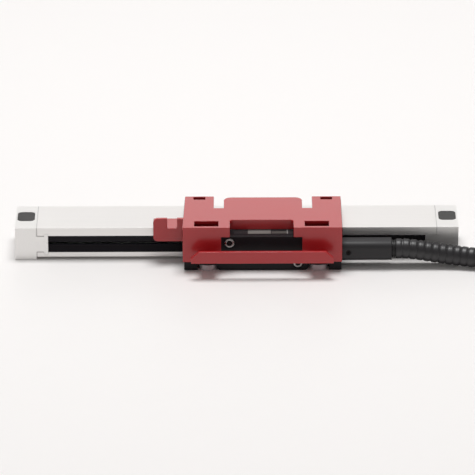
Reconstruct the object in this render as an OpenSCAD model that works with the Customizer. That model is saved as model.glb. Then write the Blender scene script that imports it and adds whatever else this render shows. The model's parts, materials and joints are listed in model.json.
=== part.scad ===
// Slimline sealed linear encoder with its shipping brace and armoured hose.
// X runs along the scale, Y away from the scanning head, Z up from the mounting plane.
// The origin is midway between the two end block fixing holes, on the mounting plane.

/* [Scale housing] */
// Overall length of the scale unit
housing_l = 235; // [210:1:400]
// Depth of the housing, from the slot face to the back
housing_d = 30; // [28:0.5:34]
// Height of the housing's top above the mounting plane
housing_h = 18; // [18:0.5:22]
// Gap between the rail's underside and the mounting plane
rail_lift = 1.5; // [1:0.1:2.5]
// Thickness of the rail's top and bottom walls
rail_wall = 2; // [1.6:0.1:2.2]
// Thickness of the wall that holds the slot
slot_wall = 3; // [2.8:0.1:3.4]
// Thickness of the rail's back wall
back_wall = 2.5; // [2:0.1:3]

/* [End blocks] */
// Length of each end block
end_l = 11.3; // [11:0.1:14]
// Distance of the fixing hole from the end face
fix_in = 5.5; // [5.2:0.1:5.8]
// Distance of the fixing holes behind the slot face
fix_back = 16; // [14:0.5:17]
// Diameter of the end block fixing holes
fix_hole_d = 5.3; // [4.3:0.1:6]
// Diameter of the pocket for the fixing screw's head
fix_head_d = 8.8; // [8:0.1:9]
// Depth of the pocket for the fixing screw's head, under the cap
fix_head_t = 5.2; // [4:0.1:6]
// Long size of the cap pocket
cap_d = 12.6; // [11:0.1:13]
// Width of the cap pocket across its flats
cap_w = 9.2; // [8.9:0.1:9.4]
// Corner radius of the cap
cap_r = 2.6; // [1:0.1:4]
// Thickness of the cap
cap_t = 2.4; // [1.5:0.1:3]
// How far the cap lies under the block's top
cap_sink = 0.1; // [0.1:0.1:0.8]
// How far the tongue reaches into the slot
tongue_l = 6.2; // [5:0.1:9]
// Length of the tongue's wide tip
tip_l = 2.2; // [1.5:0.1:3]
// How far the tip stands past each edge of the slot
tip_over = 1.1; // [0.6:0.1:1.4]
// Thickness of the tongue
tongue_t = 2.5; // [2:0.1:2.7]
// Open joint above and below the tongue
tongue_gap = 0.25; // [0.05:0.05:0.4]
// Thickness of the gasket between rail and end block
gasket_t = 0.4; // [0.3:0.1:0.8]
// Diameter of the end block screws
end_screw_d = 3; // [2.5:0.1:3]
// Head diameter of the end block screws
end_head_d = 5.5; // [5:0.1:5.6]
// Head height of the end block screws
end_head_t = 2.6; // [2:0.1:3]
// Length of the end block screws under the head
end_screw_l = 18; // [14:1:24]

/* [Slot and lips] */
// Height of the slot's lower edge above the rail's underside
slot_low = 2.6; // [2.4:0.1:2.8]
// Height of the slot
slot_h = 9.3; // [9:0.1:9.5]
// Depth of the lip grooves
groove_d = 1; // [0.8:0.1:1.1]
// Width of the lip grooves
groove_w = 1.3; // [1:0.1:1.4]
// Distance of the lip grooves behind the slot face
groove_in = 1; // [0.9:0.1:1.1]
// Thickness of a lip at its edge
lip_edge_t = 0.6; // [0.5:0.1:0.8]

/* [Glass scale] */
// Thickness of the glass
scale_t = 1.6; // [1.4:0.1:1.6]
// Width of the glass
scale_w = 14; // [13.5:0.5:14.5]
// Height of the glass above the rail's inner floor
scale_low = 2.4; // [2.3:0.1:2.5]
// Thickness of the bond behind the glass
bond_t = 0.6; // [0.4:0.1:0.7]
// Depth of the groove that holds the glass
scale_grip = 4; // [3:0.5:4]

/* [Scanning head] */
// Centre of the head along the scale, as it is shipped
head_x = 13.7; // [0:0.1:16]
// Length of the head
head_l = 83; // [80:1:90]
// Depth of the head
head_d = 13.5; // [13:0.1:14]
// Height of the head's top above the mounting plane
head_h = 19.3; // [19:0.1:20]
// Gap between the head's underside and the mounting plane
head_lift = 0.2; // [0.1:0.1:0.5]
// Running gap between the head and the rail
head_gap = 2; // [1.5:0.1:2.5]
// Length of the cover on the head's front
cover_l = 48.6; // [46:0.2:49]
// Thickness of the cover
cover_t = 2; // [2:0.1:2.4]
// Chamfer at the cover's lower corners
cover_cut = 1.4; // [0.5:0.1:2]
// Length of the electronics pocket
pocket_l = 42; // [40:1:43]
// Depth of the electronics pocket behind the cover
pocket_d = 5.5; // [5:0.1:5.6]
// Wall above and below the electronics pocket
pocket_wall = 2.5; // [2:0.1:3]
// Length of the signal board
board_l = 26; // [20:1:27]
// Thickness of the signal board
board_t = 1.6; // [1:0.1:1.6]
// Diameter of the cover screws
cover_screw_d = 3; // [2.5:0.1:3]
// Length of the cover screws
cover_screw_l = 6; // [5:0.5:6]
// Head diameter of the cover screws
cover_head_d = 5.5; // [5:0.1:5.8]
// Width of the key socket in the cover screws
cover_key = 3; // [2:0.1:3.2]
// Head height of the cover screws
cover_head_t = 1.5; // [1:0.1:1.6]
// Distance of the upper screw left of the head's centre
upper_screw_x = 17.5; // [16:0.1:18]
// Height of the upper screw
upper_screw_z = 15.4; // [14:0.1:15.6]
// Distance of the lower screw right of the head's centre
lower_screw_x = 18.6; // [17:0.1:19]
// Height of the lower screw
lower_screw_z = 4; // [3.5:0.1:6]
// Length of the label on the head's top
label_l = 31.2; // [20:0.2:34]
// Width of the label
label_w = 9; // [6:0.5:10]
// Distance of the label behind the head's front
label_in = 3.5; // [3:0.1:4]
// How far the label stands right of the head's centre
label_shift = 0.4; // [0:0.1:1]
// Thickness of the label
label_t = 0.15; // [0.1:0.05:0.25]

/* [Head fixing bushes] */
// Distance of each bush centre from the end of the head
bush_inset = 12.4; // [8.4:0.1:12.5]
// Inner diameter of the bushes, for the head's fixing screws
bush_hole_d = 5.3; // [4.3:0.1:5.6]
// Outer diameter of the bushes
bush_d = 7; // [6.6:0.1:7.4]
// Length of the bushes
bush_l = 10; // [8:0.5:16]
// Diameter of the bush flange
flange_d = 10; // [9:0.1:11]
// Room beside the bush flange in the head's foot
foot_room = 0.6; // [0.2:0.1:1]
// Thickness of the bush flange
flange_t = 3; // [2:0.1:4]
// How far the pair of bushes stands right of the head's centre
bush_shift = 0.3; // [0:0.1:0.6]
// Distance of the bush centres behind the head's front
bush_in = 4.6; // [4.4:0.1:5]

/* [Cable outlet] */
// Length of the outlet housing
outlet_l = 26.6; // [20:0.2:30]
// Width and height of the outlet housing
outlet_w = 10.8; // [10:0.1:11]
// Corner radius of the outlet housing
outlet_r = 3.6; // [1:0.1:4]
// Distance of the hose axis behind the head's front
outlet_in = 6; // [5.5:0.1:6.5]
// Height of the hose axis where it leaves the outlet
outlet_z = 9.7; // [9:0.1:11]
// Diameter of the wire channel in the outlet
wire_d = 6; // [4:0.1:7]
// Width of the wire channel in the head
wire_slot = 3.6; // [3:0.1:4]
// Diameter of the ferrule on the hose's end
ferrule_d = 9.4; // [8:0.1:10]
// Length of the ferrule
ferrule_l = 2.2; // [1.5:0.1:4]
// Diameter of the grub screw in the outlet
grub_d = 2.5; // [2:0.1:3]
// Distance of the grub screw from the head's end
grub_in = 3.7; // [2:0.1:6]

/* [Blade and carriage] */
// Centre of the blade, measured from the head's centre
blade_shift = -8.3; // [-10:0.1:0]
// Length of the blade
blade_l = 66; // [62:1:100]
// Thickness of the blade
blade_t = 1.2; // [1:0.1:1.4]
// Length of each pointed end of the blade
blade_point = 14; // [8:1:20]
// How far the blade stands in front of the slot face
blade_out = 1.2; // [0.8:0.1:1.5]
// Length of the blade's root in the head
root_l = 24; // [20:1:26]
// Width of the blade's tongue in the carriage
coupler_w = 8; // [6:0.5:8]
// Diameter of the blade screws
blade_screw_d = 2.5; // [2:0.1:3]
// Length of the carriage
carriage_l = 60; // [56:1:70]
// Thickness of the coupling spring
spring_t = 0.3; // [0.2:0.05:0.4]
// Diameter of the light unit
light_d = 7; // [6:0.1:7.5]
// Diameter of the condenser lens
lens_d = 6; // [5:0.1:6.4]
// Thickness of the reticle
reticle_t = 0.8; // [0.6:0.1:0.8]
// Width of the flex lead
flex_w = 5; // [4:0.5:5]
// Thickness of the flex lead
flex_t = 0.2; // [0.15:0.05:0.2]

/* [Guide rollers] */
// Diameter of the guide rollers
roller_d = 6; // [5:0.1:6]
// Width of the guide rollers
roller_w = 2.2; // [2:0.1:2.2]
// Diameter of the roller pins
pin_d = 1.5; // [1.2:0.1:1.8]
// Distance of the upper rollers from the carriage's centre
upper_roller_x = 22; // [18:1:24]
// Distance of the edge rollers from the carriage's centre
edge_roller_x = 14; // [13:1:15]

/* [Shipping brace] */
// How much longer the brace is than the head
brace_over = 1; // [0.8:0.1:2]
// Wall thickness of the brace
brace_t = 2; // [1.6:0.1:2.4]
// Height of the brace's top above the mounting plane
brace_h = 25.4; // [25:0.1:28]
// Height of the front wall's lower edge
brace_low = 5.7; // [5:0.1:7]
// How far the top plate reaches behind the slot face
brace_back = 25.3; // [24:0.1:27]
// Width of the right rear ear
right_ear_w = 15.4; // [14:0.1:17]
// Width of the left rear ear, with its leaning side
left_ear_w = 16.4; // [14:0.1:17]
// How far the left side leans in at the back
lean = 1; // [0:0.1:1.5]
// Width of the two rear notches
notch_w = 5.3; // [5:0.1:7]
// Depth of the two rear notches
notch_d = 16; // [12:0.5:18]
// How far the centre tab stops short of the ears
tab_short = 1.2; // [0.5:0.1:3]
// Corner radius of the centre tab
tab_r = 4; // [1:0.1:5]
// Length of the window in the top and the upper front
window_l = 33.5; // [30:0.1:35]
// Depth of the window in the top plate
window_d = 10.8; // [9:0.1:11]
// Size of the cuts on the window's rear corners
window_cut = 1.3; // [0.5:0.1:2]
// Length of the lower window in the front wall
opening_l = 42.7; // [40:0.1:43]
// Height of the lower window's upper edge
opening_z = 19.8; // [19:0.1:20.5]
// Length of the screw access slots
access_l = 12.7; // [11:0.1:14]
// Width of the screw access slots
access_w = 7.2; // [6:0.1:7.4]
// Length of the rear slots
rear_slot_l = 6.2; // [4:0.1:8]
// Width of the rear slots
rear_slot_w = 3.4; // [2:0.1:3.8]
// Distance of the rear slots from the ears' back edge
rear_slot_in = 0.8; // [0.6:0.1:2]
// Distance from the front wall to the lifting lip
lip_reach = 7.2; // [6:0.1:9]
// Length of the lifting lip
lip_l = 75; // [70:1:80]
// Height of the lifting lip's lower edge
lip_low = 8.7; // [8:0.1:10]
// Height of the lifting lip
lip_h = 6.6; // [5:0.1:8]
// Height of the lifting lip's straight ends
lip_edge_h = 3; // [1:0.1:4]
// Width of the cut on the lifting lip's upper corners
lip_cut = 4.1; // [2:0.1:6]
// Width of the webs that carry the lifting lip
web_w = 9.8; // [8:0.1:11]
// Length of the clip at the brace's left end
clip_l = 15.6; // [14:0.1:18]
// Height of the clip's lower edge
clip_low = 12.4; // [12:0.1:14]
// Distance from the clip's plate to the slot face
clip_gap = 3.5; // [2:0.1:4]
// Corner radius of the clip's plate
clip_r = 2.4; // [1:0.1:2.9]
// Width of the clip's notch
clip_notch_w = 5.2; // [4:0.1:6]
// Distance of the clip's notch from the brace
clip_notch_in = 3; // [2:0.1:4]

/* [Hose and plug] */
// Outer diameter of the armoured hose
hose_d = 10.6; // [10:0.1:11]
// Thickness of the tie around the coil
tie_t = 0.8; // [0.5:0.1:1]
// Width of the tie
tie_w = 6; // [4:1:12]
// Length of the plug's shell
plug_l = 44; // [40:1:46]
// Diameter of the plug's shell
plug_d = 19; // [16:0.5:20]
// Diameter of the plug's thread
plug_thread_d = 17; // [15:0.5:17.5]
// Length of the plug's thread
plug_thread_l = 9; // [6:1:12]
// Wall of the plug's shell at its mouth
plug_wall = 1.5; // [1:0.1:2]
// Length of the sleeve between hose and plug
sleeve_l = 8; // [5:1:10]
// Diameter of the contact pins
contact_d = 1; // [0.8:0.1:1.2]
// Number of contact pins on the ring
contacts = 8; // [5:1:9]

/* [Fits] */
// Clearance between fixed pieces that fit in each other
fit = 0.05; // [0.02:0.01:0.08]
// Radial clearance of a roller on its pin
roller_fit = 0.03; // [0.02:0.01:0.06]
// Gap between pieces that run past each other
run_gap = 0.1; // [0.06:0.01:0.15]
// Gap between the brace and what it sits on
brace_gap = 0.3; // [0.2:0.05:0.4]

/* [Hidden] */
$fn = 48;
eps = 0.01;
silver = [0.87, 0.87, 0.86];
graphite = [0.13, 0.13, 0.14];
rubber = [0.07, 0.07, 0.08];
steel = [0.72, 0.72, 0.72];
brace_red = [0.72, 0.16, 0.15];
glass_tint = [0.75, 0.85, 0.85];
board_green = [0.1, 0.35, 0.2];
gold = [0.85, 0.7, 0.35];

// Scale housing
face_y = -fix_back;
back_y = face_y + housing_d;
half_l = housing_l / 2;
rail_end = half_l - end_l - gasket_t;
block_in = half_l - end_l;
rail_h = housing_h - rail_lift;
cavity_y = face_y + slot_wall;
cavity_back = back_y - back_wall;
floor_z = rail_lift + rail_wall;
ceiling_z = housing_h - rail_wall;
slot_z = rail_lift + slot_low;
slot_mid = slot_z + slot_h / 2;
slot_end = half_l - end_l - tongue_l;
scale_z = floor_z + scale_low;
scale_top = scale_z + scale_t;
scale_back = cavity_back - bond_t;
scale_edge = scale_back - scale_w;
grip_y = cavity_back - scale_grip;
grip_top = 1.4;
port_wall = 1.2;
port_d = end_screw_d + 2 * fit;
port_y = back_y - end_screw_d / 2 - 2.7;
port_low_z = rail_lift + 0.8 + end_screw_d / 2;
port_high_z = housing_h - 2.7 - end_screw_d / 2;
boss_y = port_y - port_d / 2 - port_wall;
boss_z = port_high_z - port_d / 2 - port_wall;
port_depth = end_screw_l - end_l + end_head_t + 2;
end_head_in = end_head_t + 0.4;
cap_pocket = cap_t + cap_sink;
lip_gap = blade_t + 2 * run_gap;

// Scanning head
head_front = face_y - head_gap - head_d;
head_back = face_y - head_gap;
bush_y = head_front + bush_in;
pocket_front = head_front + cover_t;
pocket_back = pocket_front + pocket_d;
post_d = cover_screw_d + 2.6;
outlet_x = head_x + head_l / 2;
bush_gap = head_l - 2 * bush_inset;
outlet_y = head_front + outlet_in;
board_y = pocket_back - board_t - 1;

// Blade and carriage
car_x = head_x + blade_shift;
blade_z = slot_mid - blade_t / 2;
blade_inner = cavity_y + 0.9;
car_front = blade_inner + 0.6;
coupler_y = car_front + 5;
car_low = scale_top + 0.5;
car_top = ceiling_z - 0.6;
car_back = grip_y - 0.7;
web_back = scale_edge - 1;
arm_low = floor_z + 0.4;
arm_top = scale_z - 0.4;
arm_half = 12;
arm_back = 5.5;
light_y = 1;
light_z = scale_top + 3.7;
sensor_half = 7;
sensor_d = 8;
spring_w = 6;
flex_x = 2;
upper_axle_z = scale_top + roller_d / 2 + fit;
upper_roller_y = 3;
edge_axle_y = scale_edge - roller_d / 2 - fit;
edge_roller_z = scale_z + scale_t / 2;
roller_room = 0.5;

// Shipping brace
brace_l = head_l + brace_over;
brace_front = head_front - brace_gap - brace_t;
brace_mid = head_x - 0.2;
opening_mid = brace_mid - 0.35;
brace_x0 = brace_mid - brace_l / 2;
access_x = head_x - 0.6;
brace_rear = face_y + brace_back;
plate_z = brace_h - brace_t;
lip_front = brace_front - lip_reach - brace_t;
clip_y = face_y - clip_gap - brace_t;
clip_floor_back = face_y + 8.5;
low_head = head_h + label_t + brace_gap;
low_rail = housing_h + brace_gap;
wall_in = 0.1;
clip_in = 0.5;
clip_floor_top = head_h + 0.6;

// Route of the hose's axis from the ferrule to the coil, clear of the coil's turns
hose_route = [[84, -25.5, 9.7], [89, -25.5, 9.7], [96, -25.6, 8.9], [104, -25.8, 7.6], [111, -26.1, 6.6],
    [118, -26.7, 5.9], [126, -28.2, 5.5], [137, -30.2, 5.5], [150, -32, 5.6], [164, -33.6, 5.7],
    [178, -34.8, 5.9], [192, -35.5, 6], [205, -35.9, 6.1], [218, -36, 6.1], [231, -36, 6.1],
    [243.5, -36, 6.1]];
outer_turn = 64.5;
inner_turn = 53.5;
coil_c = [243.5, 28.5];
hose_sides = 10;
coil_z = tie_t;
lay_z = coil_z + hose_d / 2;
plug_z = coil_z + hose_d + plug_d / 2;
tail_straight = 12;
plug_x = coil_c[0] + inner_turn;
plug_y = coil_c[1] + tail_straight;
tie_angle = 105;

// A smooth step from 0 to 1 as a goes from one angle to the other
function ease(a, from, to) =
    let (t = min(1, max(0, (a - from) / (to - from)))) t * t * (3 - 2 * t);

// Radius and height of the coiled hose's axis at each angle
function turn_r(a) = outer_turn + (inner_turn - outer_turn) * ease(a, 155, 265);
function turn_z(a) = lay_z + hose_d * ease(a, 490, 575) + (plug_z - lay_z - hose_d) * ease(a, 668, 720);
function turn_point(a) =
    [coil_c[0] + turn_r(a) * cos(a), coil_c[1] + turn_r(a) * sin(a), turn_z(a)];

tail_route = concat([for (a = [520 : 10 : 720]) turn_point(a)],
    [[plug_x, plug_y - tail_straight / 2, plug_z], [plug_x, plug_y, plug_z]]);

// A tube swept along a list of points
function heading(p, i) =
    let (d = p[min(i + 1, len(p) - 1)] - p[max(i - 1, 0)]) d / norm(d);
function ring_at(p, i, r) =
    let (t = heading(p, i), s = cross(t, [0, 0, 1]) / norm(cross(t, [0, 0, 1])), u = cross(s, t))
    [for (k = [0 : hose_sides - 1]) p[i] + r * (cos(360 * k / hose_sides) * s + sin(360 * k / hose_sides) * u)];

module swept_tube(p, r) {
    n = hose_sides;
    last = len(p) - 1;
    points = [for (i = [0 : last]) each ring_at(p, i, r)];
    sides = [for (i = [0 : last - 1], k = [0 : n - 1])
        [i * n + k, i * n + (k + 1) % n, (i + 1) * n + (k + 1) % n, (i + 1) * n + k]];
    near_cap = [for (k = [n - 1 : -1 : 0]) k];
    far_cap = [for (k = [0 : n - 1]) last * n + k];
    polyhedron(points = points, faces = concat([near_cap], sides, [far_cap]));
}

// A box given by its two corners
module box(low, high) {
    translate(low) cube(high - low);
}

// A cylinder along X or Y
module rod_x(d, l, at) {
    translate(at) rotate([0, 90, 0]) cylinder(d = d, h = l);
}

module rod_y(d, l, at) {
    translate(at) rotate([-90, 0, 0]) cylinder(d = d, h = l);
}

// A YZ outline extruded along X from x0 to x1
module along_x(x0, x1) {
    translate([x0, 0, 0]) rotate([90, 0, 90]) linear_extrude(x1 - x0) children();
}

// An XZ outline extruded along Y from y0 to y1
module along_y(y0, y1) {
    translate([0, y1, 0]) rotate([90, 0, 0]) linear_extrude(y1 - y0) children();
}

// A rectangle with round corners
module round_rect(low, high, r) {
    translate([low[0] + r, low[1]]) square([high[0] - low[0] - 2 * r, high[1] - low[1]]);
    translate([low[0], low[1] + r]) square([high[0] - low[0], high[1] - low[1] - 2 * r]);
    for (x = [low[0] + r, high[0] - r], y = [low[1] + r, high[1] - r]) translate([x, y]) circle(r);
}

// Housing rail

module rail_section() {
    difference() {
        translate([face_y, rail_lift]) square([housing_d, rail_h]);
        difference() {
            translate([cavity_y, floor_z]) square([cavity_back - cavity_y, ceiling_z - floor_z]);
            translate([grip_y, floor_z - eps]) square([scale_grip + eps, scale_low - fit + eps]);
            translate([grip_y, scale_top + fit]) square([scale_grip + eps, grip_top]);
            translate([boss_y, boss_z]) square([cavity_back - boss_y + eps, ceiling_z - boss_z + eps]);
        }
        translate([face_y - eps, slot_z]) square([slot_wall + 2 * eps, slot_h]);
        translate([face_y + groove_in, slot_z - groove_d]) square([groove_w, slot_h + 2 * groove_d]);
    }
}

module housing_rail() {
    color(silver) difference() {
        along_x(-rail_end, rail_end) rail_section();
        for (side = [-1, 1]) {
            box([side > 0 ? slot_end - fit : -slot_end - tip_l - fit, face_y - eps, slot_z - tip_over - fit],
                [side > 0 ? slot_end + tip_l + fit : -slot_end + fit, cavity_y + eps,
                    slot_z + slot_h + tip_over + fit]);
            for (z = [port_low_z, port_high_z])
                rod_x(port_d, port_depth + eps, [side > 0 ? rail_end - port_depth : -rail_end - eps, port_y, z]);
        }
    }
}

// End blocks, gaskets, screws and caps, modelled for the right end

module cap_outline(gap) {
    round_rect([gap - cap_w / 2, gap - cap_d / 2], [cap_w / 2 - gap, cap_d / 2 - gap], cap_r - gap);
}

module end_block() {
    color(silver) {
        difference() {
            box([block_in, face_y, 0], [half_l, back_y, housing_h]);
            translate([half_l - fix_in, 0, -eps]) cylinder(d = fix_hole_d, h = housing_h + 2 * eps);
            translate([half_l - fix_in, 0, housing_h - cap_pocket - fix_head_t])
                cylinder(d = fix_head_d, h = fix_head_t + eps);
            translate([half_l - fix_in, 0, housing_h - cap_pocket])
                linear_extrude(cap_pocket + eps) cap_outline(0);
            for (z = [port_low_z, port_high_z]) {
                rod_x(port_d, end_l + 2 * eps, [block_in - eps, port_y, z]);
                rod_x(end_head_d + 2 * fit, end_head_in + eps, [half_l - end_head_in, port_y, z]);
            }
        }
        box([slot_end, face_y, slot_z + tongue_gap],
            [block_in + eps, face_y + tongue_t, slot_z + slot_h - tongue_gap]);
        box([slot_end, face_y, slot_z - tip_over],
            [slot_end + tip_l, face_y + tongue_t, slot_z + slot_h + tip_over]);
    }
}

module end_gasket() {
    inset = 0.05;
    color(rubber) difference() {
        box([rail_end, face_y + inset, rail_lift + inset], [block_in, back_y - inset, housing_h - inset]);
        box([rail_end - eps, face_y, slot_z], [block_in + eps, face_y + tongue_t + fit, slot_z + slot_h]);
        for (z = [port_low_z, port_high_z]) rod_x(port_d, gasket_t + 2 * eps, [rail_end - eps, port_y, z]);
    }
}

module end_screws() {
    color(steel) for (z = [port_low_z, port_high_z]) {
        difference() {
            rod_x(end_head_d, end_head_t, [half_l - end_head_in, port_y, z]);
            rod_x(2.5, end_head_t, [half_l - end_head_in + 1, port_y, z], $fn = 6);
        }
        rod_x(end_screw_d, end_screw_l, [half_l - end_head_in - end_screw_l + eps, port_y, z]);
    }
}

module fixing_cap() {
    color(graphite) translate([half_l - fix_in, 0, housing_h - cap_pocket])
        linear_extrude(cap_t) cap_outline(fit);
}

module left_end_block() { mirror([1, 0, 0]) end_block(); }
module right_end_block() { end_block(); }
module left_end_gasket() { mirror([1, 0, 0]) end_gasket(); }
module right_end_gasket() { end_gasket(); }
module left_end_screws() { mirror([1, 0, 0]) end_screws(); }
module right_end_screws() { end_screws(); }
module left_fixing_cap() { mirror([1, 0, 0]) fixing_cap(); }
module right_fixing_cap() { fixing_cap(); }

// Sealing lips: a foot in the groove and a blade that slopes to the slot's middle

module lip_section(root, way) {
    y0 = face_y + groove_in + fit;
    y1 = face_y + groove_in + groove_w - fit;
    edge = slot_mid - way * lip_gap / 2;
    deep = root - way * (groove_d - fit);
    polygon([[y0, deep], [y1, deep], [y1, root], [face_y + slot_wall - 0.3, root + way * 1],
        [y1, edge], [y1 - lip_edge_t, edge], [face_y + 0.5, root + way * 0.6], [face_y + 0.5, root], [y0, root]]);
}

module upper_sealing_lip() {
    color(rubber) along_x(-slot_end + fit, slot_end - fit) lip_section(slot_z + slot_h, -1);
}

module lower_sealing_lip() {
    color(rubber) along_x(-slot_end + fit, slot_end - fit) lip_section(slot_z, 1);
}

module glass_scale() {
    color(glass_tint) box([-rail_end + 4, scale_edge, scale_z], [rail_end - 4, scale_back, scale_top]);
}

module scale_bond() {
    color(rubber) box([-rail_end + 4, scale_back, scale_z], [rail_end - 4, cavity_back, scale_top]);
}

// Scanning head

module cover_outline(gap) {
    x0 = head_x - cover_l / 2 + gap;
    x1 = head_x + cover_l / 2 - gap;
    polygon([[x0 + cover_cut, head_lift], [x1 - cover_cut, head_lift], [x1, head_lift + cover_cut], [x1, head_h],
        [x0, head_h], [x0, head_lift + cover_cut]]);
}

module at_cover_screws() {
    translate([head_x - upper_screw_x, 0, upper_screw_z]) children();
    translate([head_x + lower_screw_x, 0, lower_screw_z]) children();
}

module at_bush(side) {
    translate([head_x + side * bush_gap / 2 + bush_shift, bush_y, 0]) children();
}

module at_bushes() {
    for (side = [-1, 1]) at_bush(side) children();
}

module blade_screw_holes(d, z0, z1) {
    for (side = [-1, 1]) translate([head_x + side * 8, head_back - 3, z0]) cylinder(d = d, h = z1 - z0);
}

// The wires pass behind the right bush, from the pocket to the outlet

module wire_channel() {
    x0 = head_x + pocket_l / 2 - wire_slot;
    y0 = bush_y + bush_d / 2 + 0.6;
    y1 = y0 + wire_slot;
    top = outlet_z + wire_slot / 2 + 3;
    box([x0, y0, top - wire_slot], [outlet_x + eps, y1, top]);
    box([x0, pocket_back - eps, top - wire_slot], [x0 + wire_slot - 1, y1, top]);
    box([outlet_x - wire_slot, outlet_y - wire_slot / 2, outlet_z - wire_slot / 2], [outlet_x + eps, y1, top]);
}

module head_block() {
    x0 = head_x - head_l / 2;
    x1 = head_x + head_l / 2;
    color(graphite) difference() {
        box([x0, head_front, head_lift], [x1, head_back, head_h]);
        along_y(head_front - eps, pocket_front) cover_outline(0);
        box([head_x - cover_l / 2, head_front - eps, -eps],
            [head_x + cover_l / 2, pocket_front, head_lift + cover_cut + eps]);
        difference() {
            box([head_x - pocket_l / 2, pocket_front - eps, head_lift + pocket_wall],
                [head_x + pocket_l / 2, pocket_back, head_h - pocket_wall]);
            at_cover_screws() rod_y(post_d, pocket_d + 1, [0, pocket_front, 0]);
        }
        at_cover_screws() rod_y(cover_screw_d + 2 * fit, cover_screw_l, [0, head_front, 0]);
        at_bushes() {
            translate([0, 0, -eps]) cylinder(d = bush_d + 2 * fit, h = bush_l + fit + eps);
            cylinder(d = bush_hole_d, h = head_h + 1);
            translate([0, 0, -eps]) cylinder(d = flange_d + 2 * fit, h = flange_t + fit + eps);
            translate([-flange_d / 2 - foot_room, -bush_in - 1, -eps])
                cube([flange_d + 2 * foot_room, bush_in + 1, flange_t + fit + eps]);
        }
        box([head_x - root_l / 2 - fit, pocket_back - eps, blade_z - fit],
            [head_x + root_l / 2 + fit, head_back + eps, blade_z + blade_t + fit]);
        blade_screw_holes(blade_screw_d + 2 * fit, -eps, blade_z + blade_t + 4);
        blade_screw_holes(4.6, -eps, 3);
        wire_channel();
    }
}

module head_cover() {
    color(graphite) difference() {
        along_y(head_front, pocket_front - fit) cover_outline(fit);
        at_cover_screws() {
            rod_y(cover_screw_d + 2 * fit, cover_t + 2 * eps, [0, head_front - eps, 0]);
            rod_y(cover_head_d + 2 * fit, cover_head_t, [0, head_front - eps, 0]);
        }
        at_bushes() translate([0, 0, -eps]) cylinder(d = flange_d + 4 * fit, h = flange_t + 2 * fit);
    }
}

module cover_screws() {
    color(steel) at_cover_screws() {
        difference() {
            rod_y(cover_head_d, cover_head_t - fit, [0, head_front, 0]);
            rod_y(cover_key, 1, [0, head_front - eps, 0], $fn = 6);
        }
        rod_y(cover_screw_d, cover_screw_l - cover_head_t - fit, [0, head_front + cover_head_t - fit - eps, 0]);
    }
}

module head_label() {
    y0 = head_front + label_in;
    mid = head_x + label_shift;
    color(steel) box([mid - label_l / 2, y0, head_h], [mid + label_l / 2, y0 + label_w, head_h + label_t]);
}

module fixing_bush(side) {
    color(steel) at_bush(side) difference() {
        union() {
            cylinder(d = flange_d, h = flange_t);
            cylinder(d = bush_d, h = bush_l);
        }
        translate([0, 0, -eps]) cylinder(d = bush_hole_d, h = bush_l + 2 * eps);
    }
}

module left_fixing_bush() { fixing_bush(-1); }
module right_fixing_bush() { fixing_bush(1); }

module signal_board() {
    color(board_green) box([head_x - board_l / 2, board_y, head_lift + pocket_wall + fit],
        [head_x + board_l / 2, board_y + board_t, head_h - pocket_wall - fit]);
}

// Blade: a thin plate through the lips, with a root in the head and a tongue in the carriage

module blade_outline() {
    x0 = car_x - blade_l / 2;
    x1 = car_x + blade_l / 2;
    y0 = face_y - blade_out;
    tip = (y0 + blade_inner) / 2;
    polygon([[x0, tip], [x0 + blade_point, y0], [x1 - blade_point, y0], [x1, tip],
        [x1 - blade_point, blade_inner], [x0 + blade_point, blade_inner]]);
    translate([head_x - root_l / 2, pocket_back]) square([root_l, y0 - pocket_back + eps]);
    translate([car_x - coupler_w, blade_inner - eps]) square([coupler_w, coupler_y - blade_inner]);
}

module coupling_blade() {
    color(steel) difference() {
        translate([0, 0, blade_z]) linear_extrude(blade_t) blade_outline();
        blade_screw_holes(blade_screw_d + 2 * fit, blade_z - eps, blade_z + blade_t + eps);
        box([car_x + flex_x - fit, pocket_back - 1, blade_z + blade_t - flex_t],
            [car_x + flex_x + flex_w + fit, blade_inner + 1, blade_z + blade_t + eps]);
    }
}

module blade_screws() {
    color(steel) {
        blade_screw_holes(blade_screw_d, 1, blade_z + blade_t + 3);
        blade_screw_holes(4.4, 1, 3);
    }
}

// Carriage: reaches over, in front of and under the glass scale

module upper_roller_axis(side) {
    translate([car_x + side * upper_roller_x, upper_roller_y, upper_axle_z]) rotate([-90, 0, 0]) children();
}

module edge_roller_axis(side) {
    translate([car_x + side * edge_roller_x, edge_axle_y, edge_roller_z]) children();
}

module carriage_frame() {
    room = roller_d / 2 + roller_room;
    color(graphite) difference() {
        union() {
            box([car_x - carriage_l / 2, car_front, car_low], [car_x + carriage_l / 2, car_back, car_top]);
            box([car_x - carriage_l / 2, car_front, arm_low], [car_x + carriage_l / 2, web_back, car_low + eps]);
            box([car_x - arm_half, car_front, arm_low], [car_x + arm_half, arm_back, arm_top]);
        }
        box([car_x - coupler_w - fit, car_front - eps, blade_z - fit],
            [car_x + fit, coupler_y + 1, blade_z + blade_t + spring_t + fit]);
        for (side = [-1, 1]) {
            upper_roller_axis(side) {
                translate([-room, -room, -roller_w / 2 - run_gap])
                    cube([2 * room, 2 * room + 2, roller_w + 2 * run_gap]);
                translate([0, 0, -3.5]) cylinder(d = pin_d + 2 * fit, h = 7);
            }
            edge_roller_axis(side) {
                translate([-room, -room, -roller_w / 2 - run_gap])
                    cube([2 * room, 3 * room, roller_w + 2 * run_gap]);
                translate([0, 0, -2]) cylinder(d = pin_d + 2 * fit, h = 6);
            }
        }
        translate([car_x, light_y, light_z]) cylinder(d = light_d + 2 * fit, h = car_top);
        translate([car_x, light_y, 0]) cylinder(d = lens_d + 2 * fit, h = car_top);
        box([car_x - sensor_half - fit, light_y - sensor_d / 2 - fit, arm_low - eps],
            [car_x + sensor_half + fit, light_y + sensor_d / 2 + fit, arm_top + eps]);
    }
}

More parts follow.
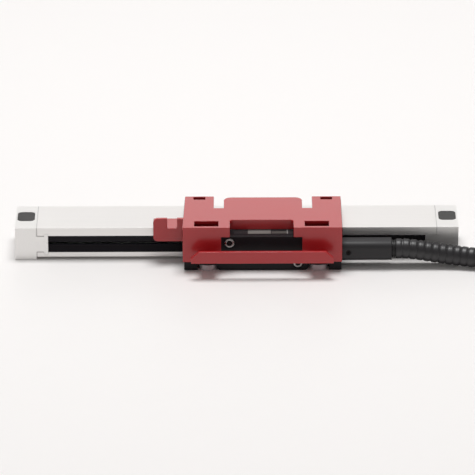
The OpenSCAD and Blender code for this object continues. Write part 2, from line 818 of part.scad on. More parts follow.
module coupling_spring() {
    x0 = car_x - coupler_w / 2 - spring_w / 2;
    z0 = blade_z + blade_t;
    color(gold) box([x0, car_front + 0.2, z0], [x0 + spring_w, coupler_y + 0.5, z0 + spring_t]);
}

module roller_pins() {
    color(steel) for (side = [-1, 1]) {
        upper_roller_axis(side) translate([0, 0, -3.3]) cylinder(d = pin_d, h = 6.6);
        edge_roller_axis(side) translate([0, 0, -1.8]) cylinder(d = pin_d, h = 5.6);
    }
}

module roller() {
    color(steel) translate([0, 0, -roller_w / 2]) difference() {
        cylinder(d = roller_d, h = roller_w);
        translate([0, 0, -eps]) cylinder(d = pin_d + 2 * roller_fit, h = roller_w + 2 * eps);
    }
}

module upper_left_roller() { upper_roller_axis(-1) roller(); }
module upper_right_roller() { upper_roller_axis(1) roller(); }
module edge_left_roller() { edge_roller_axis(-1) roller(); }
module edge_right_roller() { edge_roller_axis(1) roller(); }

module light_unit() {
    color(graphite) translate([car_x, light_y, light_z]) cylinder(d = light_d, h = car_top - light_z);
}

module condenser_lens() {
    color(glass_tint) translate([car_x, light_y, light_z - 2]) cylinder(d = lens_d, h = 2);
}

module scanning_reticle() {
    color(glass_tint) box([car_x - sensor_half, light_y - sensor_d / 2, arm_top - reticle_t],
        [car_x + sensor_half, light_y + sensor_d / 2, arm_top]);
}

module sensor_board() {
    color(board_green) box([car_x - sensor_half, light_y - sensor_d / 2, arm_low],
        [car_x + sensor_half, light_y + sensor_d / 2, arm_top - reticle_t]);
}

module flex_lead() {
    x0 = car_x + flex_x;
    x1 = x0 + flex_w;
    top = blade_z + blade_t;
    color([0.75, 0.45, 0.1]) {
        box([x0, board_y + board_t, top - flex_t], [x1, blade_inner + 2 * flex_t, top]);
        box([x0, blade_inner + flex_t, arm_low - flex_t], [x1, blade_inner + 2 * flex_t, top]);
        box([x0, blade_inner + flex_t, arm_low - flex_t], [x1, light_y, arm_low]);
    }
}

// Cable outlet

module cable_outlet() {
    color(graphite) difference() {
        along_x(outlet_x, outlet_x + outlet_l)
            round_rect([outlet_y - outlet_w / 2, outlet_z - outlet_w / 2],
                [outlet_y + outlet_w / 2, outlet_z + outlet_w / 2], outlet_r);
        rod_x(wire_d, outlet_l + 2 * eps, [outlet_x - eps, outlet_y, outlet_z]);
        rod_y(grub_d + 2 * fit, 2, [outlet_x + grub_in, outlet_y - outlet_w / 2 - eps, outlet_z]);
    }
}

module outlet_grub_screw() {
    color(steel) difference() {
        rod_y(grub_d, 1.5, [outlet_x + grub_in, outlet_y - outlet_w / 2 + 0.4, outlet_z]);
        rod_y(1.3, 0.8, [outlet_x + grub_in, outlet_y - outlet_w / 2 + 0.4 - eps, outlet_z], $fn = 6);
    }
}

module hose_ferrule() {
    color(steel) difference() {
        rod_x(ferrule_d, ferrule_l, [outlet_x + outlet_l, outlet_y, outlet_z]);
        rod_x(wire_d, ferrule_l + 2 * eps, [outlet_x + outlet_l - eps, outlet_y, outlet_z]);
    }
}

// Shipping brace

// The window's plan, with its two rear corners cut off
module window_outline() {
    x0 = opening_mid - window_l / 2;
    x1 = opening_mid + window_l / 2;
    y1 = brace_front + window_d;
    polygon([[x0, brace_front - 1], [x1, brace_front - 1], [x1, y1 - window_cut], [x1 - window_cut, y1],
        [x0 + window_cut, y1], [x0, y1 - window_cut]]);
}

module brace_plate() {
    x1 = brace_x0 + brace_l;
    left_x = brace_x0 + left_ear_w;
    right_x = x1 - right_ear_w;
    notch_y = brace_rear - notch_d;
    slot_y = brace_rear - rear_slot_in - rear_slot_w;
    difference() {
        union() {
            polygon([[brace_x0, brace_front], [x1, brace_front], [x1, brace_rear], [right_x, brace_rear],
                [right_x, notch_y], [left_x, notch_y], [left_x, brace_rear], [brace_x0 + lean, brace_rear],
                [brace_x0, brace_front + brace_t]]);
            round_rect([left_x + notch_w, notch_y - 2 * tab_r],
                [right_x - notch_w, brace_rear - tab_short], tab_r);
        }
        window_outline();
        for (side = [-1, 1])
            translate([access_x + side * bush_gap / 2 - access_l / 2, brace_front + brace_t])
                square([access_l, access_w]);
        for (x = [brace_x0 + (lean + left_ear_w) / 2, x1 - right_ear_w / 2])
            translate([x - rear_slot_l / 2, slot_y]) square([rear_slot_l, rear_slot_w]);
    }
}

// A side wall that leans in towards the back, set in a little from the plate's edge
module side_wall(x, leans) {
    y0 = brace_front + brace_t - eps;
    translate([x, 0, low_rail]) linear_extrude(plate_z + eps - low_rail)
        polygon([[0, y0], [brace_t, y0], [leans + brace_t, brace_rear - eps], [leans, brace_rear - eps]]);
}

module lip_outline() {
    x0 = brace_mid - lip_l / 2;
    x1 = brace_mid + lip_l / 2;
    top = lip_low + lip_h;
    polygon([[x0, lip_low], [x1, lip_low], [x1, lip_low + lip_edge_h], [x1 - lip_cut, top],
        [x0 + lip_cut, top], [x0, lip_low + lip_edge_h]]);
}

module clip_outline() {
    x0 = brace_x0 - clip_l;
    x1 = brace_x0;
    notch_x = x1 - clip_notch_in - clip_notch_w;
    difference() {
        round_rect([x0, clip_low], [x1 + 3, brace_h], clip_r);
        translate([notch_x, clip_floor_top]) square([clip_notch_w, brace_h]);
        translate([x1 + clip_in, clip_low - 1]) square([4, brace_h]);
    }
}

module shipping_brace() {
    x1 = brace_x0 + brace_l;
    rib_y = brace_front + window_d;
    color(brace_red) {
        translate([0, 0, plate_z]) linear_extrude(brace_t) brace_plate();
        difference() {
            box([brace_x0, brace_front, brace_low], [x1, brace_front + brace_t, brace_h]);
            box([opening_mid - opening_l / 2, brace_front - 1, brace_low - 1],
                [opening_mid + opening_l / 2, brace_front + brace_t + 1, opening_z]);
            box([opening_mid - window_l / 2, brace_front - 1, opening_z - 1],
                [opening_mid + window_l / 2, brace_front + brace_t + 1, brace_h + 1]);
        }
        box([brace_x0 + brace_t, rib_y, low_head], [x1 - brace_t + eps, rib_y + brace_t, plate_z + eps]);
        difference() {
            union() {
                side_wall(brace_x0 + wall_in, lean);
                side_wall(x1 - brace_t - wall_in, 0);
            }
            box([brace_x0 - 1, brace_front + brace_t, low_rail - 1], [x1 + 1, head_back + brace_gap, low_head]);
        }
        along_y(lip_front, lip_front + brace_t) lip_outline();
        for (side = [-1, 1]) {
            x = head_x + side * bush_gap / 2 + bush_shift;
            box([x - web_w / 2, lip_front + brace_t - eps, lip_low],
                [x + web_w / 2, brace_front + eps, lip_low + brace_t]);
        }
        along_y(clip_y, clip_y + brace_t) clip_outline();
        box([brace_x0 - clip_l, clip_y + brace_t - eps, low_rail],
            [brace_x0 + clip_in, clip_floor_back, clip_floor_top]);
        box([brace_x0 - 1, head_back + brace_gap, low_rail],
            [brace_x0 + brace_t / 2, clip_floor_back - 1, clip_floor_top]);
    }
}

// Hose, coil, tie and plug

module hose() {
    color(rubber) swept_tube(hose_route, hose_d / 2);
}

module hose_coil() {
    color(rubber) translate([coil_c[0], coil_c[1], 0]) rotate_extrude($fn = 96)
        translate([inner_turn - hose_d / 2, coil_z]) square([outer_turn - inner_turn + hose_d, hose_d]);
}

module hose_tail() {
    color(rubber) swept_tube(tail_route, hose_d / 2);
}

module coil_tie() {
    r0 = inner_turn - hose_d / 2;
    r1 = outer_turn + hose_d / 2;
    color(graphite) translate([coil_c[0], coil_c[1], 0]) rotate([0, 0, tie_angle])
        along_y(-tie_w / 2, tie_w / 2) difference() {
            translate([r0 - tie_t, 0]) square([r1 - r0 + 2 * tie_t, hose_d + 2 * tie_t]);
            translate([r0 - 0.15, coil_z]) square([r1 - r0 + 0.3, hose_d]);
        }
}

module plug_sleeve() {
    color(steel) rod_y(hose_d + 2, sleeve_l, [plug_x, plug_y, plug_z]);
}

module plug_shell() {
    body_l = plug_l - plug_thread_l;
    y0 = plug_y + sleeve_l;
    color(steel) difference() {
        union() {
            rod_y(plug_d, body_l, [plug_x, y0, plug_z]);
            rod_y(plug_thread_d, plug_l, [plug_x, y0, plug_z]);
        }
        rod_y(plug_thread_d - 2 * plug_wall, plug_thread_l + eps, [plug_x, y0 + body_l, plug_z]);
    }
}

module at_contacts() {
    y0 = plug_y + sleeve_l + plug_l - plug_thread_l;
    reach = plug_thread_d / 2 - plug_wall - 2.6;
    for (k = [0 : contacts - 1])
        translate([plug_x + reach * cos(360 * k / contacts), y0, plug_z + reach * sin(360 * k / contacts)])
            children();
    translate([plug_x, y0, plug_z]) children();
}

module plug_insert() {
    y0 = plug_y + sleeve_l + plug_l - plug_thread_l;
    color(graphite) difference() {
        rod_y(plug_thread_d - 2 * plug_wall - 2 * fit, 3, [plug_x, y0, plug_z]);
        at_contacts() rod_y(contact_d + 2 * fit, 3 + 2 * eps, [0, -eps, 0]);
    }
}

module plug_pins() {
    color(gold) at_contacts() rod_y(contact_d, plug_thread_l - 1.5, [0, 0, 0]);
}

housing_rail();
left_end_block();
right_end_block();
left_end_gasket();
right_end_gasket();
left_end_screws();
right_end_screws();
left_fixing_cap();
right_fixing_cap();
upper_sealing_lip();
lower_sealing_lip();
glass_scale();
scale_bond();
head_block();
head_cover();
cover_screws();
head_label();
left_fixing_bush();
right_fixing_bush();
signal_board();
coupling_blade();
blade_screws();
carriage_frame();
coupling_spring();
roller_pins();
light_unit();
condenser_lens();
scanning_reticle();
sensor_board();
flex_lead();
upper_left_roller();
upper_right_roller();
edge_left_roller();
edge_right_roller();
cable_outlet();
outlet_grub_screw();
hose_ferrule();
shipping_brace();
hose();
hose_coil();
hose_tail();
coil_tie();
plug_sleeve();
plug_shell();
plug_insert();
plug_pins();
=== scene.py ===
"""Looks for a slimline sealed linear encoder with its shipping brace and armoured hose."""

import json
import math

import bmesh
import bpy
from mathutils import Matrix, Vector


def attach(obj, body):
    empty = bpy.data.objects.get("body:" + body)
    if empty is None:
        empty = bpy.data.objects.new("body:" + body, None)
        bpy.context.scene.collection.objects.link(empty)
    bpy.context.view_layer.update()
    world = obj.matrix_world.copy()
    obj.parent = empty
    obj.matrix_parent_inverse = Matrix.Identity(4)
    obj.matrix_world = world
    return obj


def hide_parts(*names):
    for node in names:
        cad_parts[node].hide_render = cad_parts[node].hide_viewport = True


bl_info = {
    "name": "Linear encoder looks",
    "version": (1, 0, 0),
    "blender": (4, 5, 0),
    "location": "View3D > Sidebar > Encoder",
    "description": "Dresses the linear encoder and sets its studio",
    "category": "Object",
}

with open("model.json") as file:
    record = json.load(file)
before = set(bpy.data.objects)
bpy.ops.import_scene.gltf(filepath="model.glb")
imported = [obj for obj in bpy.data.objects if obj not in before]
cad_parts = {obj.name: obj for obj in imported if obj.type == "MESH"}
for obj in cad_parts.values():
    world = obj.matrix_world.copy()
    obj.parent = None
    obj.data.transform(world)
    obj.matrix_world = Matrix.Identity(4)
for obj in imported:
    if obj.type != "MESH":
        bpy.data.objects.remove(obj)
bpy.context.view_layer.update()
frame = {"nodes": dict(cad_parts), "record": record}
SUBPART_SLOTS = {s["node"]: s["material_slot"] for s in frame["record"]["subparts"]}

# The camera's aim point and sensor
AIM = Vector((0.00042, -0.02955, 0.018))
SENSOR_MM = 36

# The studio
FLOOR_HALF = 6
FLOOR_DROP = 0.0001
LAMP_HEIGHT = 1.6
LAMP_ACROSS = 0.0
SKY_TINT = (1.0, 0.985, 0.975, 1)
SKY_FADE = (0.86, 0.915)

# Route of the hose, repeated from the part's source, in metres
HOSE_ROUTE = [(0.084, -0.0255, 0.0097), (0.089, -0.0255, 0.0097), (0.096, -0.0256, 0.0089),
              (0.104, -0.0258, 0.0076), (0.111, -0.0261, 0.0066), (0.118, -0.0267, 0.0059),
              (0.126, -0.0282, 0.0055), (0.137, -0.0302, 0.0055), (0.150, -0.032, 0.0056),
              (0.164, -0.0336, 0.0057), (0.178, -0.0348, 0.0059), (0.192, -0.0355, 0.006),
              (0.205, -0.0359, 0.0061), (0.218, -0.036, 0.0061), (0.231, -0.036, 0.0061),
              (0.2435, -0.036, 0.0061)]
COIL_CENTRE = (0.2435, 0.0285)
OUTER_TURN = 0.0645
INNER_TURN = 0.0535
LAY_Z = 0.0061
HOSE_D = 0.0106
HOSE_SIDES = 20
PATH_STEPS = 10
FERRULE_AT = (0.0818, -0.0255, 0.0097)
PLUG_X = COIL_CENTRE[0] + INNER_TURN
PLUG_Y = COIL_CENTRE[1] + 0.012
PLUG_Z = 0.0209


# Small helpers for curves and meshes

def ease(a, start, end):
    t = min(1.0, max(0.0, (a - start) / (end - start)))
    return t * t * (3 - 2 * t)


def coil_point(a):
    r = OUTER_TURN + (INNER_TURN - OUTER_TURN) * ease(a, 155, 265)
    z = LAY_Z + HOSE_D * ease(a, 490, 575) + (PLUG_Z - LAY_Z - HOSE_D) * ease(a, 668, 720)
    return Vector((COIL_CENTRE[0] + r * math.cos(math.radians(a)),
                   COIL_CENTRE[1] + r * math.sin(math.radians(a)), z))


def hose_points():
    """The hose's axis from the ferrule to the plug."""
    points = [Vector(p) for p in HOSE_ROUTE]
    points += [coil_point(a) for a in range(-80, 721, 10)]
    points += [Vector((PLUG_X, PLUG_Y - 0.006, PLUG_Z)), Vector((PLUG_X, PLUG_Y, PLUG_Z))]
    return points


def smooth_path(points, steps):
    """Catmull-Rom points through a list of points."""
    out = []
    for i in range(len(points) - 1):
        a = points[max(i - 1, 0)]
        b = points[i]
        c = points[i + 1]
        d = points[min(i + 2, len(points) - 1)]
        for k in range(steps):
            t = k / steps
            out.append(0.5 * ((2 * b) + (c - a) * t + (2 * a - 5 * b + 4 * c - d) * t * t
                              + (3 * b - a - 3 * c + d) * t * t * t))
    out.append(points[-1].copy())
    return out


def walk(points, stops):
    """Points and directions at the given distances along a path."""
    lengths = [0.0]
    for i in range(1, len(points)):
        lengths.append(lengths[-1] + (points[i] - points[i - 1]).length)
    found = []
    i = 0
    for s in stops:
        s = min(s, lengths[-1])
        while i < len(points) - 2 and lengths[i + 1] < s:
            i += 1
        span = max(lengths[i + 1] - lengths[i], 1e-9)
        t = (s - lengths[i]) / span
        before = (points[i] - points[max(i - 1, 0)]) if i else (points[1] - points[0])
        after = points[i + 1] - points[i]
        heading = (before.normalized() * (1 - t) + after.normalized() * (1 + t)).normalized()
        found.append((points[i].lerp(points[i + 1], t), heading))
    return found


def path_length(points):
    return sum((points[i + 1] - points[i]).length for i in range(len(points) - 1))


def new_object(name, mesh, body, material=None, smooth=35):
    obj = bpy.data.objects.new(name, mesh)
    bpy.context.scene.collection.objects.link(obj)
    if material:
        obj.data.materials.clear()
        obj.data.materials.append(material)
    if smooth is not None:
        for poly in mesh.polygons:
            poly.use_smooth = True
        mesh.set_sharp_from_angle(angle=math.radians(smooth))
    if body:
        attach(obj, body)
    return obj


def tube_mesh(name, stations, radii, sides):
    """A closed tube through (point, heading) stations with one radius each."""
    bm = bmesh.new()
    rings = []
    for (point, heading), radius in zip(stations, radii):
        side = heading.cross(Vector((0, 0, 1))).normalized()
        up = side.cross(heading)
        rings.append([bm.verts.new(point + radius * (math.cos(2 * math.pi * k / sides) * side
                                                     + math.sin(2 * math.pi * k / sides) * up))
                      for k in range(sides)])
    for a, b in zip(rings, rings[1:]):
        for k in range(sides):
            bm.faces.new((a[k], a[(k + 1) % sides], b[(k + 1) % sides], b[k]))
    bm.faces.new(rings[0])
    bm.faces.new(reversed(rings[-1]))
    bmesh.ops.recalc_face_normals(bm, faces=bm.faces)
    mesh = bpy.data.meshes.new(name)
    bm.to_mesh(mesh)
    bm.free()
    return mesh


def turned_mesh(name, profile, origin, axis, sides=48, ribs=None):
    """A turned solid: profile holds (distance along the axis, radius); ribs may change a radius by angle."""
    axis = Vector(axis).normalized()
    side = axis.cross(Vector((0, 0, 1)))
    side = side.normalized() if side.length > 0.1 else Vector((1, 0, 0))
    up = side.cross(axis)
    origin = Vector(origin)
    bm = bmesh.new()
    rings = []
    for s, r in profile:
        centre = origin + axis * s
        if r < 1e-7:
            rings.append([bm.verts.new(centre)])
            continue
        ring = []
        for k in range(sides):
            angle = 2 * math.pi * k / sides
            rr = ribs(s, r, angle) if ribs else r
            ring.append(bm.verts.new(centre + rr * (math.cos(angle) * side + math.sin(angle) * up)))
        rings.append(ring)
    for a, b in zip(rings, rings[1:]):
        for k in range(sides):
            j = (k + 1) % sides
            if len(a) == 1 and len(b) == 1:
                continue
            if len(a) == 1:
                bm.faces.new((a[0], b[j], b[k]))
            elif len(b) == 1:
                bm.faces.new((a[k], a[j], b[0]))
            else:
                bm.faces.new((a[k], a[j], b[j], b[k]))
    bmesh.ops.recalc_face_normals(bm, faces=bm.faces)
    mesh = bpy.data.meshes.new(name)
    bm.to_mesh(mesh)
    bm.free()
    return mesh


def evaluated(obj):
    """The mesh of an object with its modifiers applied, which are then taken off."""
    bpy.context.view_layer.update()
    mesh = bpy.data.meshes.new_from_object(obj.evaluated_get(bpy.context.evaluated_depsgraph_get()))
    obj.modifiers.clear()
    obj.data = mesh
    return mesh


def rounded_copy(node, name, width, material, segments=2, angle=28):
    """A piece with rolled edges that stands for a CAD node of the same form."""
    source = frame["nodes"][node]
    mesh = source.data.copy()
    mesh.name = name
    bm = bmesh.new()
    bm.from_mesh(mesh)
    bmesh.ops.remove_doubles(bm, verts=bm.verts, dist=2e-6)
    bmesh.ops.dissolve_limit(bm, angle_limit=math.radians(1.0), verts=bm.verts, edges=bm.edges)
    bm.to_mesh(mesh)
    bm.free()
    obj = new_object(name, mesh, body_of(node), material, smooth=None)
    roll = obj.modifiers.new("roll", "BEVEL")
    roll.width = width
    roll.segments = segments
    roll.limit_method = "ANGLE"
    roll.angle_limit = math.radians(angle)
    roll.use_clamp_overlap = False
    roll.harden_normals = False
    done = evaluated(obj)
    for poly in done.polygons:
        poly.use_smooth = True
    done.set_sharp_from_angle(angle=math.radians(38))
    even = obj.modifiers.new("even", "WEIGHTED_NORMAL")
    even.keep_sharp = True
    flat = evaluated(obj)
    flat.materials.clear()
    flat.materials.append(material)
    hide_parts(node)
    return obj


def body_of(node):
    for body, nodes in frame["record"]["behaviour"]["bodies"].items():
        if node in nodes:
            return body
    raise RuntimeError("no body holds " + node)


# Materials

def surface(name, base, rough=0.4, metal=0.0, vary=0.06, grain=900.0, stretch=(1, 1, 1), bump=0.08,
            bump_size=0.00002, rough_vary=0.08, edge=0.0, edge_width=0.0003, edge_colour=None,
            coat=0.0, coat_rough=0.2, ior=1.5, sheen=0.0, transmission=0.0, specular=0.5, mottle=60.0):
    """A procedural finish: cloudy colour, fine grain, uneven gloss and edges that are rubbed lighter."""
    mat = bpy.data.materials.new(name)
    mat.use_nodes = True
    tree = mat.node_tree
    nodes, links = tree.nodes, tree.links
    nodes.clear()
    out = nodes.new("ShaderNodeOutputMaterial")
    bsdf = nodes.new("ShaderNodeBsdfPrincipled")
    links.new(bsdf.outputs[0], out.inputs[0])
    bsdf.inputs["Metallic"].default_value = metal
    bsdf.inputs["IOR"].default_value = ior
    bsdf.inputs["Specular IOR Level"].default_value = specular
    bsdf.inputs["Coat Weight"].default_value = coat
    bsdf.inputs["Coat Roughness"].default_value = coat_rough
    bsdf.inputs["Sheen Weight"].default_value = sheen
    bsdf.inputs["Transmission Weight"].default_value = transmission
    coords = nodes.new("ShaderNodeTexCoord")
    scaled = nodes.new("ShaderNodeMapping")
    scaled.inputs["Scale"].default_value = stretch
    links.new(coords.outputs["Object"], scaled.inputs["Vector"])
    cloud = nodes.new("ShaderNodeTexNoise")
    cloud.inputs["Scale"].default_value = mottle
    cloud.inputs["Detail"].default_value = 3
    links.new(coords.outputs["Object"], cloud.inputs["Vector"])
    fine = nodes.new("ShaderNodeTexNoise")
    fine.inputs["Scale"].default_value = grain
    fine.inputs["Detail"].default_value = 2
    links.new(scaled.outputs[0], fine.inputs["Vector"])
    both = nodes.new("ShaderNodeMath")
    both.operation = "MULTIPLY_ADD"
    both.inputs[1].default_value = 0.5
    links.new(fine.outputs["Fac"], both.inputs[0])
    half = nodes.new("ShaderNodeMath")
    half.operation = "MULTIPLY"
    half.inputs[1].default_value = 0.5
    links.new(cloud.outputs["Fac"], half.inputs[0])
    links.new(half.outputs[0], both.inputs[2])
    ramp = nodes.new("ShaderNodeValToRGB")
    ramp.color_ramp.elements[0].position = 0.3
    ramp.color_ramp.elements[1].position = 0.7
    ramp.color_ramp.elements[0].color = [max(0.0, c * (1 - vary)) for c in base[:3]] + [1]
    ramp.color_ramp.elements[1].color = [min(1.0, c * (1 + vary)) for c in base[:3]] + [1]
    links.new(both.outputs[0], ramp.inputs[0])
    colour = ramp.outputs[0]
    rough_map = nodes.new("ShaderNodeMapRange")
    rough_map.inputs["From Min"].default_value = 0.3
    rough_map.inputs["From Max"].default_value = 0.7
    rough_map.inputs["To Min"].default_value = max(0.02, rough - rough_vary)
    rough_map.inputs["To Max"].default_value = min(1.0, rough + rough_vary)
    links.new(both.outputs[0], rough_map.inputs["Value"])
    links.new(rough_map.outputs[0], bsdf.inputs["Roughness"])
    bumped = nodes.new("ShaderNodeBump")
    bumped.inputs["Strength"].default_value = bump
    bumped.inputs["Distance"].default_value = bump_size
    links.new(fine.outputs["Fac"], bumped.inputs["Height"])
    rolled = nodes.new("ShaderNodeBevel")
    rolled.samples = 4
    rolled.inputs["Radius"].default_value = edge_width
    links.new(rolled.outputs[0], bumped.inputs["Normal"])
    links.new(bumped.outputs[0], bsdf.inputs["Normal"])
    # Edges mix toward edge_colour: rubbed wear on most finishes, a painted edge highlight on the red brace.
    if edge > 0:
        geometry = nodes.new("ShaderNodeNewGeometry")
        dot = nodes.new("ShaderNodeVectorMath")
        dot.operation = "DOT_PRODUCT"
        links.new(rolled.outputs[0], dot.inputs[0])
        links.new(geometry.outputs["Normal"], dot.inputs[1])
        edge_wear_and_highlight = nodes.new("ShaderNodeMapRange")
        edge_wear_and_highlight.inputs["From Min"].default_value = 0.98
        edge_wear_and_highlight.inputs["From Max"].default_value = 0.8
        edge_wear_and_highlight.inputs["To Min"].default_value = 0.0
        edge_wear_and_highlight.inputs["To Max"].default_value = edge
        links.new(dot.outputs["Value"], edge_wear_and_highlight.inputs["Value"])
        mix = nodes.new("ShaderNodeMix")
        mix.data_type = "RGBA"
        mix.inputs[7].default_value = list(edge_colour or [min(1, c * 2 + 0.1) for c in base[:3]]) + [1]
        links.new(edge_wear_and_highlight.outputs[0], mix.inputs[0])
        links.new(colour, mix.inputs[6])
        colour = mix.outputs[2]
    links.new(colour, bsdf.inputs["Base Color"])
    mat.diffuse_color = list(base[:3]) + [1]
    return mat


def overlay(mat, colour, fields):
    """Lays plain rectangles of colour on a finish, each given as low x, high x, low y, high y in metres."""
    tree = mat.node_tree
    nodes, links = tree.nodes, tree.links
    bsdf = next(n for n in nodes if n.type == "BSDF_PRINCIPLED")
    socket = bsdf.inputs["Base Color"]
    last = socket.links[0].from_socket
    coords = next(n for n in nodes if n.type == "TEX_COORD")
    split = nodes.new("ShaderNodeSeparateXYZ")
    links.new(coords.outputs["Object"], split.inputs[0])
    total = None
    for x0, x1, y0, y1 in fields:
        inside = None
        for output, low, high in (("X", x0, x1), ("Y", y0, y1)):
            test = nodes.new("ShaderNodeMath")
            test.operation = "COMPARE"
            test.inputs[1].default_value = (low + high) / 2
            test.inputs[2].default_value = (high - low) / 2
            links.new(split.outputs[output], test.inputs[0])
            if inside is None:
                inside = test.outputs[0]
            else:
                joined = nodes.new("ShaderNodeMath")
                joined.operation = "MULTIPLY"
                links.new(inside, joined.inputs[0])
                links.new(test.outputs[0], joined.inputs[1])
                inside = joined.outputs[0]
        if total is None:
            total = inside
        else:
            larger = nodes.new("ShaderNodeMath")
            larger.operation = "MAXIMUM"
            links.new(total, larger.inputs[0])
            links.new(inside, larger.inputs[1])
            total = larger.outputs[0]
    mix = nodes.new("ShaderNodeMix")
    mix.data_type = "RGBA"
    mix.inputs[7].default_value = list(colour) + [1]
    links.new(total, mix.inputs[0])
    links.new(last, mix.inputs[6])
    links.new(mix.outputs[2], socket)


FINISHES = {
    "rail_silver": dict(base=(0.88, 0.863, 0.847), rough=0.43, metal=0.9, vary=0.02, grain=900,
                        stretch=(0.02, 1, 1), bump=0.003, edge_width=0.00005, rough_vary=0.04,
                        mottle=25),
    "block_silver": dict(base=(0.88, 0.868, 0.853), rough=0.45, metal=0.9, vary=0.02, grain=1500,
                         bump=0.01, edge_width=0.00005, rough_vary=0.04, mottle=40),
    "gasket_grey": dict(base=(0.6, 0.59, 0.58), rough=0.5, vary=0.06, grain=1800, bump=0.2),
    "seal_rubber": dict(base=(0.008, 0.0065, 0.009), rough=0.6, vary=0.2, grain=1800, bump=0.03,
                        specular=0.15),
    "screw_steel": dict(base=(0.5, 0.49, 0.48), rough=0.28, metal=1.0, vary=0.08, grain=1800, bump=0.15,
                        edge=0.5),
    "screw_black": dict(base=(0.012, 0.008, 0.008), rough=0.4, vary=0.15, grain=1800, bump=0.15,
                        specular=0.15),
    "cap_grey": dict(base=(0.04, 0.038, 0.037), rough=0.5, vary=0.12, grain=2200, bump=0.25, edge=0.2,
                     specular=0.3),
    "scale_glass": dict(base=(0.82, 0.9, 0.89), rough=0.04, vary=0.02, bump=0.0, transmission=0.9,
                        rough_vary=0.02),
    "bond_black": dict(base=(0.02, 0.02, 0.02), rough=0.7, vary=0.3, grain=900, bump=0.4),
    "head_black": dict(base=(0.0085, 0.007, 0.009), rough=0.38, vary=0.2, grain=2400, bump=0.15,
                       edge=0.12, edge_colour=(0.05, 0.048, 0.05), specular=0.2),
    "outlet_black": dict(base=(0.012, 0.0105, 0.0125), rough=0.55, vary=0.2, grain=2400, bump=0.1,
                         specular=0.5, edge_width=0.0006),
    "label_grey": dict(base=(0.02, 0.018, 0.02), rough=0.4, vary=0.08, grain=1600, bump=0.05,
                       specular=0.3),
    # The bushes' pinkish tint is a painted reflection of the red brace.
    "bush_steel": dict(base=(0.55, 0.49, 0.51), rough=0.5, metal=0.25, vary=0.08, grain=1500, bump=0.2,
                       edge=0.3),
    "board_green": dict(base=(0.02, 0.16, 0.07), rough=0.3, vary=0.25, grain=450, bump=0.4,
                        bump_size=0.00005, coat=0.5),
    # The blade is steel; its near-black colour is painted shade from the dark slot it runs in.
    "blade_steel": dict(base=(0.02, 0.02, 0.021), rough=0.4, vary=0.12, grain=1200, stretch=(0.05, 1, 1),
                        bump=0.15, specular=0.2),
    "carriage_black": dict(base=(0.03, 0.03, 0.032), rough=0.45, vary=0.15, grain=1800, bump=0.25,
                           edge=0.3),
    "spring_bronze": dict(base=(0.72, 0.48, 0.22), rough=0.3, metal=1.0, vary=0.08, grain=1200,
                          bump=0.1),
    "roller_steel": dict(base=(0.66, 0.66, 0.67), rough=0.16, metal=1.0, vary=0.04, grain=1500,
                         bump=0.05),
    "light_black": dict(base=(0.02, 0.02, 0.02), rough=0.5, vary=0.15, grain=1500, bump=0.2),
    "lens_glass": dict(base=(0.85, 0.9, 0.95), rough=0.03, vary=0.01, bump=0.0, transmission=1.0,
                       rough_vary=0.01),
    "reticle_glass": dict(base=(0.4, 0.44, 0.46), rough=0.08, vary=0.1, grain=3000, stretch=(1, 0.02, 1),
                          bump=0.0, transmission=0.6, rough_vary=0.02),
    "flex_amber": dict(base=(0.5, 0.2, 0.03), rough=0.35, vary=0.2, grain=1500, stretch=(1, 0.03, 1),
                       bump=0.1),
    "ferrule_black": dict(base=(0.015, 0.014, 0.015), rough=0.4, vary=0.12, grain=1500, bump=0.1,
                          specular=0.4),
    "hose_black": dict(base=(0.009, 0.0075, 0.0095), rough=0.42, vary=0.3, grain=1600, bump=0.15,
                       rough_vary=0.05, specular=0.65),
    "tie_black": dict(base=(0.02, 0.02, 0.02), rough=0.45, vary=0.2, grain=1500, bump=0.3),
    "plug_nickel": dict(base=(0.6, 0.58, 0.55), rough=0.24, metal=1.0, vary=0.05, grain=1500, bump=0.08,
                        edge=0.4),
    "insert_black": dict(base=(0.025, 0.025, 0.025), rough=0.55, vary=0.15, grain=1500, bump=0.2),
    "pin_gold": dict(base=(0.83, 0.6, 0.24), rough=0.18, metal=1.0, vary=0.05, grain=1500, bump=0.05),
    # The brace's lighter red edge colour is a painted highlight along its edges.
    "brace_red": dict(base=(0.43, 0.011, 0.015), rough=0.5, coat=1.0, coat_rough=0.22, specular=0.2,
                      vary=0.05, grain=1300, bump=0.2, bump_size=0.00003, rough_vary=0.05, edge=0.25,
                      edge_colour=(0.7, 0.1, 0.09), edge_width=0.0003, mottle=35),
}
made = {}


def finish_for(slot):
    if slot not in made:
        made[slot] = surface(slot, **FINISHES[slot])
    return made[slot]


def dress(*nodes):
    """Gives CAD nodes their detailed finish in place."""
    for node in nodes:
        obj = frame["nodes"][node]
        obj.data.materials.clear()
        obj.data.materials.append(finish_for(SUBPART_SLOTS[node]))
        for poly in obj.data.polygons:
            poly.material_index = 0


# Pieces

def make_camera(props):
    """The photograph's viewpoint: a long lens at about 23 degrees above the table."""
    data = bpy.data.cameras.new("photo_camera")
    data.lens = props.lens
    data.sensor_width = SENSOR_MM
    camera = bpy.data.objects.new("photo_camera", data)
    bpy.context.scene.collection.objects.link(camera)
    tilt = props.elevation
    away = Vector((0, -math.cos(tilt), math.sin(tilt))) * props.distance
    turn = Matrix.Rotation(math.pi / 2 - tilt, 4, "X") @ Matrix.Rotation(props.roll, 4, "Z")
    camera.matrix_world = Matrix.Translation(AIM + away) @ turn
    bpy.context.scene.camera = camera


# Height of the hose's wall along one rib, from crest to groove
RIB_SHAPE = (0.6, 1.0, 1.0, 1.0, 1.0, 1.0, 0.6, 0.0)


